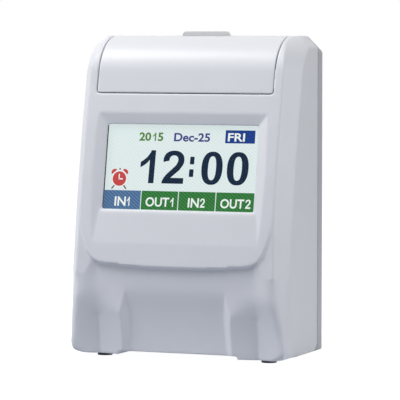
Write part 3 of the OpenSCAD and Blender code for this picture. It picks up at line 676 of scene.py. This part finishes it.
class FormSheet:
    """The node tree that blends one shell."""

    def __init__(self, name: str) -> None:
        """Makes an empty tree from a mesh to a mesh.

        Args:
            name: Name of the tree.
        """
        self.tree = bpy.data.node_groups.new(name, "GeometryNodeTree")
        for way in ("INPUT", "OUTPUT"):
            self.tree.interface.new_socket("Geometry", in_out=way,
                                           socket_type="NodeSocketGeometry")
        self.flow = self.tree.nodes.new("NodeGroupInput").outputs[0]
        parts = self.tree.nodes.new("ShaderNodeSeparateXYZ")
        self.link(self.tree.nodes.new("GeometryNodeInputPosition").outputs[0], parts.inputs[0])
        self.axes = (self.maths("ABSOLUTE", parts.outputs[0]), parts.outputs[1], parts.outputs[2])

    def link(self, start: Socket, end: Socket) -> None:
        """Joins two sockets."""
        self.tree.links.new(start, end)

    def maths(self, kind: str, *values: Socket) -> Socket:
        """Adds one sum.

        Args:
            kind: Blender's name of the operation.
            values: What goes into it.

        Returns:
            The result.
        """
        node = self.tree.nodes.new("ShaderNodeMath")
        node.operation = kind
        for socket, value in zip(node.inputs, values):
            self.link(value, socket)
        return node.outputs[0]

    def ramp(self, value: Socket, start: float, end: float) -> Socket:
        """Adds a smooth rise from 0 to 1.

        Args:
            value: The coordinate to follow.
            start: Where it is 0, in millimetres.
            end: Where it is 1, in millimetres.

        Returns:
            The height of the rise.
        """
        node = self.tree.nodes.new("ShaderNodeMapRange")
        node.interpolation_type = "SMOOTHSTEP"
        for name, number in (("From Min", start * MM), ("From Max", end * MM),
                             ("To Min", 0.0), ("To Max", 1.0)):
            node.inputs[name].default_value = number
        self.link(value, node.inputs["Value"])
        return node.outputs["Result"]

    def weight(self, blend: Blend) -> Socket:
        """Weighs the points by whether they lie in the box of a blend.

        Args:
            blend: The box.

        Returns:
            The blend's strength inside and 0 outside, with a soft border.
        """
        result = None
        for axis, (low, high) in zip(self.axes, (blend.across, blend.deep, blend.high)):
            for part in (self.ramp(axis, low - blend.border, low + blend.border),
                         self.ramp(axis, high + blend.border, high - blend.border)):
                result = part if result is None else self.maths("MULTIPLY", result, part)
        level = self.tree.nodes.new("ShaderNodeValue")
        level.outputs[0].default_value = blend.strength
        return self.maths("MULTIPLY", result, level.outputs[0])

    def blur(self, passes: int, blends: tuple[Blend, ...] = ()) -> None:
        """Averages the places of neighbouring points.

        Args:
            passes: How many times.
            blends: The boxes in which to do so, or none for all over.
        """
        node = self.tree.nodes.new("GeometryNodeBlurAttribute")
        node.data_type = "FLOAT_VECTOR"
        node.inputs["Iterations"].default_value = passes
        value = next(s for s in node.inputs if s.name == "Value" and s.enabled)
        self.link(self.tree.nodes.new("GeometryNodeInputPosition").outputs[0], value)
        total = None
        for blend in blends:
            part = self.weight(blend)
            total = part if total is None else self.maths("MAXIMUM", total, part)
        if total is not None:
            self.link(total, node.inputs["Weight"])
        result = next(s for s in node.outputs if s.enabled)
        place = self.tree.nodes.new("GeometryNodeSetPosition")
        self.link(self.flow, place.inputs["Geometry"])
        self.link(result, place.inputs["Position"])
        self.flow = place.outputs[0]

    def close(self) -> bpy.types.NodeTree:
        """Shades the result smooth and ends the tree.

        Returns:
            The finished tree.
        """
        smooth = self.tree.nodes.new("GeometryNodeSetShadeSmooth")
        self.link(self.flow, smooth.inputs["Geometry"])
        self.link(smooth.outputs[0], self.tree.nodes.new("NodeGroupOutput").inputs[0])
        return self.tree


@dataclass
class Shell:
    """One moulded part of the housing, with its edges rounded as they leave the mould."""

    node: str
    finish: Finish
    softness: Softness

    def build(self) -> None:
        """Rounds the edges of the solid and blends its steps into each other."""
        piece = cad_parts[self.node]
        soft = self.softness.value
        even = piece.modifiers.new("even", "REMESH")
        even.mode = "VOXEL"
        even.voxel_size = soft.cell_mm * MM * 1.0
        even.use_smooth_shade = True
        sheet = FormSheet(self.node + "_form")
        sheet.blur(soft.passes)
        if soft.blends:
            sheet.blur(soft.flows, soft.blends)
        piece.modifiers.new("soft", "NODES").node_group = sheet.close()

    def dress(self, finishes: Finishes) -> None:
        """Gives the shell its plastic."""
        finishes.dress(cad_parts[self.node], self.finish)


Outline = list[tuple[float, float]]


def oval(x: float, y: float, wide: float, high: float, start: float = 0.0, end: float = 360.0,
         power: float = 2.0, steps: int = 40) -> Outline:
    """Returns points on an oval, or on part of one.

    Args:
        x: Middle of the oval, across.
        y: Middle of the oval, upwards.
        wide: Half its width.
        high: Half its height.
        start: First angle in degrees.
        end: Last angle in degrees.
        power: 2 for a true oval, more for squarer shoulders.
        steps: Number of points.

    Returns:
        The points in order.
    """
    points = []
    closed = abs(end - start) >= 360.0
    for step in range(steps):
        angle = math.radians(start + (end - start) * step / (steps if closed else steps - 1))
        c, s = math.cos(angle), math.sin(angle)
        points.append((x + wide * math.copysign(abs(c) ** (2 / power), c),
                       y + high * math.copysign(abs(s) ** (2 / power), s)))
    return points


def block(x0: float, y0: float, x1: float, y1: float, corner: float = 0.0) -> Outline:
    """Returns a rectangle with rounded corners.

    Args:
        x0: Its left side.
        y0: Its foot.
        x1: Its right side.
        y1: Its top.
        corner: Radius of the corners.

    Returns:
        The points in order.
    """
    r = max(corner, 0.01)
    points: Outline = []
    for x, y, turn in ((x1 - r, y1 - r, 0), (x0 + r, y1 - r, 90),
                       (x0 + r, y0 + r, 180), (x1 - r, y0 + r, 270)):
        points += oval(x, y, r, r, turn, turn + 90, steps=5)
    return points


def bar(x0: float, y0: float, x1: float, y1: float, thick: float) -> Outline:
    """Returns a straight bar with rounded ends between two points.

    Args:
        x0: First point, across.
        y0: First point, upwards.
        x1: Second point, across.
        y1: Second point, upwards.
        thick: Width of the bar.

    Returns:
        The points in order.
    """
    turn, parts = math.atan2(y1 - y0, x1 - x0), 6
    points: Outline = []
    for x, y, first in ((x1, y1, -90), (x0, y0, 90)):
        for step in range(parts + 1):
            angle = turn + math.radians(first + 180 * step / parts)
            points.append((x + thick / 2 * math.cos(angle), y + thick / 2 * math.sin(angle)))
    return points


def settled(curve: bpy.types.Curve) -> bpy.types.Mesh:
    """Turns a curve into a mesh, and puts the curve away.

    Args:
        curve: The curve.

    Returns:
        The mesh.
    """
    holder = bpy.data.objects.new("outline", curve)
    bpy.context.scene.collection.objects.link(holder)
    seen = holder.evaluated_get(bpy.context.evaluated_depsgraph_get())
    mesh = bpy.data.meshes.new_from_object(seen)
    bpy.data.objects.remove(holder)
    bpy.data.curves.remove(curve)
    return mesh


def filled(outlines: list[Outline], thick_mm: float = 0.0) -> bpy.types.Mesh:
    """Returns a filled mesh in which an outline inside another is a hole.

    Args:
        outlines: The outlines, in millimetres.
        thick_mm: Thickness of the mesh, or 0 for a flat one.

    Returns:
        The mesh, lying across the Z axis.
    """
    curve = bpy.data.curves.new("outline", "CURVE")
    curve.dimensions = "2D"
    curve.fill_mode = "BOTH"
    curve.extrude = thick_mm / 2 * MM
    for outline in outlines:
        line = curve.splines.new("POLY")
        line.points.add(len(outline) - 1)
        for point, (x, y) in zip(line.points, outline):
            point.co = (x * MM, y * MM, 0, 1)
        line.use_cyclic_u = True
    return settled(curve)


class Ink(Enum):
    """The colours that the display shows."""

    FIELD = LitColour("screen_field", linear(226, 239, 238), 0.03, layer=0)
    DIGIT = LitColour("screen_digits", linear(18, 38, 62), 0.06)
    YEAR = LitColour("screen_year", linear(84, 132, 54), 0.08)
    DATE = LitColour("screen_date", linear(66, 68, 136), 0.08)
    DAY = LitColour("screen_day", linear(24, 62, 138), 0.12)
    CHOSEN = LitColour("screen_chosen_tab", linear(82, 116, 156), 0.32)
    TAB = LitColour("screen_tab", linear(52, 122, 60), 0.3)
    LABEL = LitColour("screen_label", linear(240, 247, 244), 0.03, layer=2)
    ALARM = LitColour("screen_alarm", linear(200, 72, 70), 0.1)
    ALARM_DARK = LitColour("screen_alarm_dark", linear(110, 76, 76), 0.1)


@dataclass
class ScreenPicture:
    """The lit picture of the display: time, date, an alarm sign and four booking tabs.

    It lies on the face of the display panel. Places are in millimetres from the lower left corner
    of the screen opening.
    """

    wide_mm: float = 127.0
    high_mm: float = 67.0
    lean_deg: float = 10.287
    panel_mm: float = 5.5
    shift_mm: float = -0.95
    slant: float = 0.02
    gap_mm: float = 0.03
    layer_mm: float = 0.05
    time_drop: float = 0.684
    time_high: float = 26.2
    year_weight: float = 0.03
    date_weight: float = 0.028

    def place(self, layer: int) -> Matrix:
        """Finds where a layer of the picture lies, from the panel's own box.

        Args:
            layer: The layer, counted from the panel.

        Returns:
            The place of its lower left corner, and its lean.
        """
        low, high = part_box("lcd_panel")
        middle = (Vector(low) + Vector(high)) / 2
        lean = math.radians(self.lean_deg)
        out = Vector((0, -math.cos(lean), math.sin(lean)))
        up = Vector((0, math.sin(lean), math.cos(lean)))
        right = Vector((1, 0, 0))
        corner = middle + out * (self.panel_mm / 2 + self.gap_mm + self.layer_mm * layer) * MM
        corner += right * (self.shift_mm - self.wide_mm / 2) * MM - up * self.high_mm / 2 * MM
        rows = [(right[i], up[i], out[i], corner[i]) for i in range(3)]
        return Matrix(rows + [(0, 0, 0, 1)])

    def lay(self, name: str, mesh: bpy.types.Mesh, ink: Ink, finishes: Finishes) -> None:
        """Lays one flat mesh on the panel and gives it its colour.

        Args:
            name: Name of the piece.
            mesh: Its mesh, drawn flat.
            ink: Its colour, which has its layer.
            finishes: The maker of the finishes.
        """
        mesh.transform(self.place(ink.value.layer))
        piece = bpy.data.objects.new(name, mesh)
        bpy.context.scene.collection.objects.link(piece)
        finishes.dress(piece, ink)
        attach(piece, "case")
        LOG.info("picture %s", name)

    def words(self, text: str, x0: float, x1: float, y0: float, y1: float,
              weight: float = 0.022) -> bpy.types.Mesh:
        """Returns lettering that fills a given box.

        Args:
            text: What it says.
            x0: Left side of the box.
            x1: Right side of the box.
            y0: Foot of the letters.
            y1: Top of the letters.
            weight: How much bolder than the plain letters.

        Returns:
            The flat mesh.
        """
        curve = bpy.data.curves.new("words", "FONT")
        curve.body = text
        curve.offset = weight
        curve.resolution_u = 4
        mesh = settled(curve)
        xs = [v.co.x for v in mesh.vertices]
        ys = [v.co.y for v in mesh.vertices]
        left, foot = min(xs), min(ys)
        wide, high = max(xs) - left, max(ys) - foot
        for v in mesh.vertices:
            across, up = (v.co.x - left) / wide, (v.co.y - foot) / high
            v.co.x = (x0 + (x1 - x0) * across + self.slant * (y1 - y0) * (up - 0.5)) * MM
            v.co.y = (y0 + (y1 - y0) * up) * MM
        return mesh

    def digit(self, sign: str, x: float, foot: float, wide: float, high: float) -> list[Outline]:
        """Returns the outlines of one large bold digit.

        Args:
            sign: The digit or the colon.
            x: Its left side.
            foot: Its foot.
            wide: Its width.
            high: Its height.

        Returns:
            The outlines, holes among them.
        """
        if sign == "0":
            shapes = [oval(0.5, 0.5, 0.5, 0.5, power=2.35), oval(0.5, 0.5, 0.19, 0.36, power=2.5)]
        elif sign == "1":
            stem = [(0.62, 0.0), (1.0, 0.0), (1.0, 1.0), (0.7, 1.0)]
            flag = [(0.6, 0.9), (0.42, 0.79), (0.2, 0.7), (0.0, 0.64),
                    (0.0, 0.475), (0.25, 0.54), (0.47, 0.62), (0.62, 0.71)]
            shapes = [stem + flag]
        elif sign == "2":
            hook = oval(0.5, 0.71, 0.48, 0.29, 190, -25, 2.2, 22)
            bowl = oval(0.5, 0.715, 0.2, 0.14, -25, 180, 2.2, 16)
            neck = [(0.9, 0.53), (0.78, 0.41), (0.6, 0.3), (0.47, 0.22), (0.4, 0.175), (1.0, 0.175)]
            base = [(1.0, 0.0), (0.0, 0.0), (0.03, 0.09), (0.1, 0.19), (0.24, 0.31), (0.46, 0.45)]
            shapes = [hook + neck + base + [(0.62, 0.56)] + bowl + [(0.29, 0.69)]]
        else:
            shapes = [block(0.0, 0.0, 1.0, 0.38, 0.08), block(0.0, 0.62, 1.0, 1.0, 0.08)]
        lean = self.slant * high
        return [[(x + wide * px + lean * (py - 0.5), foot + high * py) for px, py in shape]
                for shape in shapes]

    def time(self, foot: float, finishes: Finishes) -> None:
        """Draws the large time.

        Args:
            foot: Height of its foot.
            finishes: The maker of the finishes.
        """
        high, zero_foot = self.time_high, foot - 0.3
        signs = (("1", 29.7, foot, 12.3, high), ("2", 48.6, foot, 18.5, high),
                 (":", 71.5, foot + 5.6, 3.7, 16.0), ("0", 81.6, zero_foot, 17.7, high),
                 ("0", 103.0, zero_foot, 18.0, high))
        outlines = [outline for sign in signs for outline in self.digit(*sign)]
        self.lay("large_time", filled(outlines), Ink.DIGIT, finishes)

    def alarm(self, finishes: Finishes) -> None:
        """Draws the alarm sign: a round face on two feet under two bells.

        Args:
            finishes: The maker of the finishes.
        """
        x, y, face = 12.4, 24.3, 5.9
        self.lay("alarm_sign_face", filled([oval(x, y, face, face)]), Ink.ALARM, finishes)
        bell_way, bell_turn, bell_half = 6.9, 41, 2.75
        round_part = oval(0.0, 0.0, 2.5, bell_half, 80, -80, steps=14)
        dome = [(0.0, bell_half)] + round_part + [(0.0, -bell_half)]
        bells = []
        for side in (-1, 1):
            out = math.radians(90 - side * bell_turn)
            c, s = math.cos(out), math.sin(out)
            bells.append([(x + c * (bell_way + px) - s * py, y + s * (bell_way + px) + c * py)
                          for px, py in dome])
        self.lay("alarm_sign_bells", filled(bells), Ink.ALARM, finishes)
        feet = [bar(x + side * 4.1, y - 5.4, x + side * 5.9, y - 7.7, 1.1) for side in (-1, 1)]
        knob = block(x - 0.6, y + 7.1, x + 0.6, y + 8.5, 0.3)
        self.lay("alarm_sign_feet", filled(feet + [knob]), Ink.ALARM_DARK, finishes)
        ring = [oval(x, y, 6.6, 6.6), oval(x, y, 5.8, 5.8)]
        hands = [bar(x - 0.3, y + 0.2, x - 0.3, y + 3.4, 1.0),
                 bar(x - 0.2, y - 0.2, x + 2.6, y - 0.2, 1.0)]
        self.lay("alarm_sign_ring", filled(ring), Ink.LABEL, finishes)
        self.lay("alarm_sign_hands", filled(hands), Ink.LABEL, finishes)

    def tabs(self, finishes: Finishes) -> None:
        """Draws the row of booking tabs with their labels.

        Args:
            finishes: The maker of the finishes.
        """
        edges, seam = (-0.4, 32.0, 63.7, 95.3, 127.6), 0.35
        shapes = [block(left + seam, 0.2, right - seam, 15.1, 0.4)
                  for left, right in zip(edges, edges[1:])]
        self.lay("tab_chosen", filled(shapes[:1]), Ink.CHOSEN, finishes)
        self.lay("tabs_waiting", filled(shapes[1:]), Ink.TAB, finishes)
        labels = (("IN", "1", 9.6, 19.2, 22.3), ("OUT", "1", 36.2, 56.2, 59.6),
                  ("IN", "2", 72.1, 81.4, 86.2), ("OUT", "2", 99.4, 119.2, 124.4))
        foot, head, sign_foot, sign_high = 2.7, 10.1, 2.8, 7.2
        for text, number, x0, x1, x2 in labels:
            name = "tab_label_" + text.lower() + number
            self.lay(name, self.words(text, x0, x1, foot, head), Ink.LABEL, finishes)
            sign = self.digit(number, x1 + 1.0, sign_foot, x2 - x1 - 0.8, sign_high)
            self.lay(name + "_number", filled(sign), Ink.LABEL, finishes)

    def calendar(self, finishes: Finishes) -> None:
        """Draws the row with the year, the date and the day.

        Args:
            finishes: The maker of the finishes.
        """
        top = self.high_mm
        foot = top - 12.2
        low, high = foot - 0.1, foot + 6.7
        start = self.words("20", 27.1, 37.2, low, high, self.year_weight)
        self.lay("year_start", start, Ink.YEAR, finishes)
        middle = filled(self.digit("1", 38.6, foot, 2.8, 6.6))
        self.lay("year_middle", middle, Ink.YEAR, finishes)
        end = self.words("5", 43.0, 47.6, low, high, self.year_weight)
        self.lay("year_end", end, Ink.YEAR, finishes)
        date = self.words("Dec-25", 56.8, 87.2, top - 12.4, top - 5.5, self.date_weight)
        self.lay("date", date, Ink.DATE, finishes)
        box = filled([block(100.0, top - 13.2, 124.8, top - 2.9, 0.3)])
        self.lay("day_box", box, Ink.DAY, finishes)
        day = self.words("FRI", 102.2, 116.4, top - 11.7, top - 5.2)
        self.lay("day", day, Ink.LABEL, finishes)

    def build(self, finishes: Finishes) -> None:
        """Draws the whole picture.

        Args:
            finishes: The maker of the finishes.
        """
        over = 2.2
        field_edge = block(0.3, -over, self.wide_mm + over, self.high_mm + over, 0.2)
        self.lay("screen_field", filled([field_edge]), Ink.FIELD, finishes)
        self.time(self.high_mm - self.time_drop * self.high_mm, finishes)
        self.calendar(finishes)
        self.alarm(finishes)
        self.tabs(finishes)


def solid_boxes(node: str) -> list[tuple[Vector, Vector]]:
    """Finds the box of each separate solid in a node.

    Args:
        node: Name of the node.

    Returns:
        The lower and upper corners of the boxes, in order of place.
    """
    source = bmesh.new()
    source.from_mesh(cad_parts[node].data)
    bmesh.ops.remove_doubles(source, verts=source.verts, dist=WELD_MM * MM)
    left = set(source.verts)
    boxes = []
    while left:
        edge = [left.pop()]
        group = list(edge)
        while edge:
            vert = edge.pop()
            near = [link.other_vert(vert) for link in vert.link_edges]
            fresh = {other for other in near if other in left}
            left -= fresh
            edge += fresh
            group += fresh
        corners = list(zip(*(vert.co for vert in group)))
        low, high = ([end(row) for row in corners] for end in (min, max))
        boxes.append((Vector(low), Vector(high)))
    source.free()
    return sorted(boxes, key=lambda box: tuple(box[0]))


def add_piece(name: str, mesh: bpy.types.Mesh, finish: Finish, body: str,
              finishes: Finishes) -> None:
    """Adds a small piece to the object.

    Args:
        name: Name of the piece.
        mesh: Its mesh, already in place.
        finish: Its finish.
        body: The body that it moves with.
        finishes: The maker of the finishes.
    """
    piece = bpy.data.objects.new(name, mesh)
    bpy.context.scene.collection.objects.link(piece)
    finishes.dress(piece, finish)
    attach(piece, body)
    LOG.info("detail %s on %s", name, body)


@dataclass
class KeySigns:
    """Raised signs on the setting keys: list, back, forward, choose and feed."""

    thick_mm: float = 0.2
    half_mm: float = 1.6

    def outlines(self, key: int) -> list[Outline]:
        """Draws one key's sign around its middle.

        Args:
            key: Number of the key, from 1.

        Returns:
            The outlines.
        """
        r = self.half_mm
        if key == 1:
            half = 0.28
            return [block(-r, y - half, r, y + half, 0.1) for y in (-1.2, 0.0, 1.2)]
        if key == 2:
            return [[(-r, 0.0), (0.7 * r, -r), (0.7 * r, r)]]
        if key == 3:
            return [[(r, 0.0), (-0.7 * r, r), (-0.7 * r, -r)]]
        if key == 4:
            return [oval(0, 0, r, r), oval(0, 0, 0.62 * r, 0.62 * r)]
        return [[(-r, -0.3 * r), (r, -0.3 * r), (0.0, r)], block(-r, -r, r, -0.65 * r, 0.1)]

    def build(self, finishes: Finishes) -> None:
        """Makes the sign on each key.

        Args:
            finishes: The maker of the finishes.
        """
        for key in range(1, 6):
            low, high = (Vector(corner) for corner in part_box(f"set_key_{key}"))
            mesh = filled(self.outlines(key), self.thick_mm)
            middle = (low + high) / 2
            mesh.transform(Matrix.Translation((middle.x, middle.y, high.z)))
            add_piece(f"key_sign_{key}", mesh, Finish.SIGN, f"key_{key}", finishes)


@dataclass
class CrossSlotShade:
    """Painted shade of cross slots: thin dark crosses on the heads of the rear cover's screws."""

    node: str = "case_screws"
    reach: float = 0.62
    arm: float = 0.17
    thick_mm: float = 0.08
    turn_deg: float = 17.0

    def build(self, finishes: Finishes) -> None:
        """Lays one thin dark cross per screw, as painted shade of its slot.

        Args:
            finishes: The maker of the finishes.
        """
        for number, (low, high) in enumerate(solid_boxes(self.node), 1):
            radius = (high.x - low.x) / 2 / MM
            long, short = self.reach * radius, self.arm * radius
            cross = [(short, short), (short, long), (-short, long), (-short, short), (-long, short),
                     (-long, -short), (-short, -short), (-short, -long), (short, -long),
                     (short, -short), (long, -short), (long, short)]
            mesh = filled([cross], self.thick_mm)
            middle = (low + high) / 2
            turn = Matrix.Rotation(math.radians(-90), 4, "X")
            turn @= Matrix.Rotation(math.radians(self.turn_deg * number), 4, "Z")
            mesh.transform(Matrix.Translation((middle.x, high.y, middle.z)) @ turn)
            # Dark plastic stands in for the shade inside the slot: painted shade.
            add_piece(f"cross_slot_shade_{number}", mesh, Finish.DARK, "case", finishes)


NODE_FINISH: dict[str, Finish] = {
    "card_throat": Finish.THROAT, "display_window": Finish.PANE, "lcd_panel": Finish.SCREEN_EDGE,
    "lcd_frame": Finish.STEEL, "display_board": Finish.BOARD, "key_board": Finish.BOARD,
    "main_board": Finish.BOARD, "key_strip": Finish.STRIP, "lid_pins": Finish.ROD,
    "frame_screws": Finish.SCREW, "board_screws": Finish.SCREW, "case_screws": Finish.SCREW,
    "chassis_screws": Finish.SCREW, "set_key_1": Finish.KEY, "set_key_2": Finish.KEY,
    "set_key_3": Finish.KEY, "set_key_4": Finish.KEY, "set_key_5": Finish.KEY,
    "ribbon_knob": Finish.KEY, "chassis_base": Finish.STEEL, "plate_left": Finish.STEEL,
    "plate_right": Finish.STEEL, "front_guide": Finish.STEEL, "rear_guide": Finish.STEEL,
    "platen": Finish.ROLLER, "carriage_rods": Finish.ROD, "lead_screw": Finish.ROD,
    "feed_shaft": Finish.ROD, "pinch_shaft": Finish.ROD, "feed_rollers": Finish.ROLLER,
    "pinch_rollers": Finish.ROLLER, "carriage": Finish.DARK, "print_head": Finish.DARK,
    "carriage_motor": Finish.CAN, "feed_motor": Finish.CAN, "shaft_bushes": Finish.BRONZE,
    "ribbon_cassette": Finish.DARK, "ribbon_band": Finish.RIBBON, "card_sensor": Finish.DARK,
    "board_parts": Finish.DARK, "buzzer": Finish.DARK, "dc_jack": Finish.DARK,
    "battery_pack": Finish.WRAP, "rubber_feet": Finish.RUBBER,
}


def main() -> None:
    """Builds the scene, piece by piece."""
    logging.basicConfig(level=logging.INFO, format="%(name)s: %(message)s")
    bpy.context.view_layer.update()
    finishes = Finishes()
    Studio().build()
    for shell in (Shell("front_case", Finish.CASE, Softness.CASE),
                  Shell("top_lid", Finish.LID, Softness.LID),
                  Shell("rear_cover", Finish.REAR, Softness.REAR)):
        shell.build()
        shell.dress(finishes)
        LOG.info("shell %s", shell.node)
    ScreenPicture().build(finishes)
    for detail in (KeySigns(), CrossSlotShade()):
        detail.build(finishes)
    for name, finish in NODE_FINISH.items():
        finishes.dress(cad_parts[name], finish)
        LOG.info("dressed %s as %s", name, finish.name.lower())


if __name__ == "__main__":
    main()
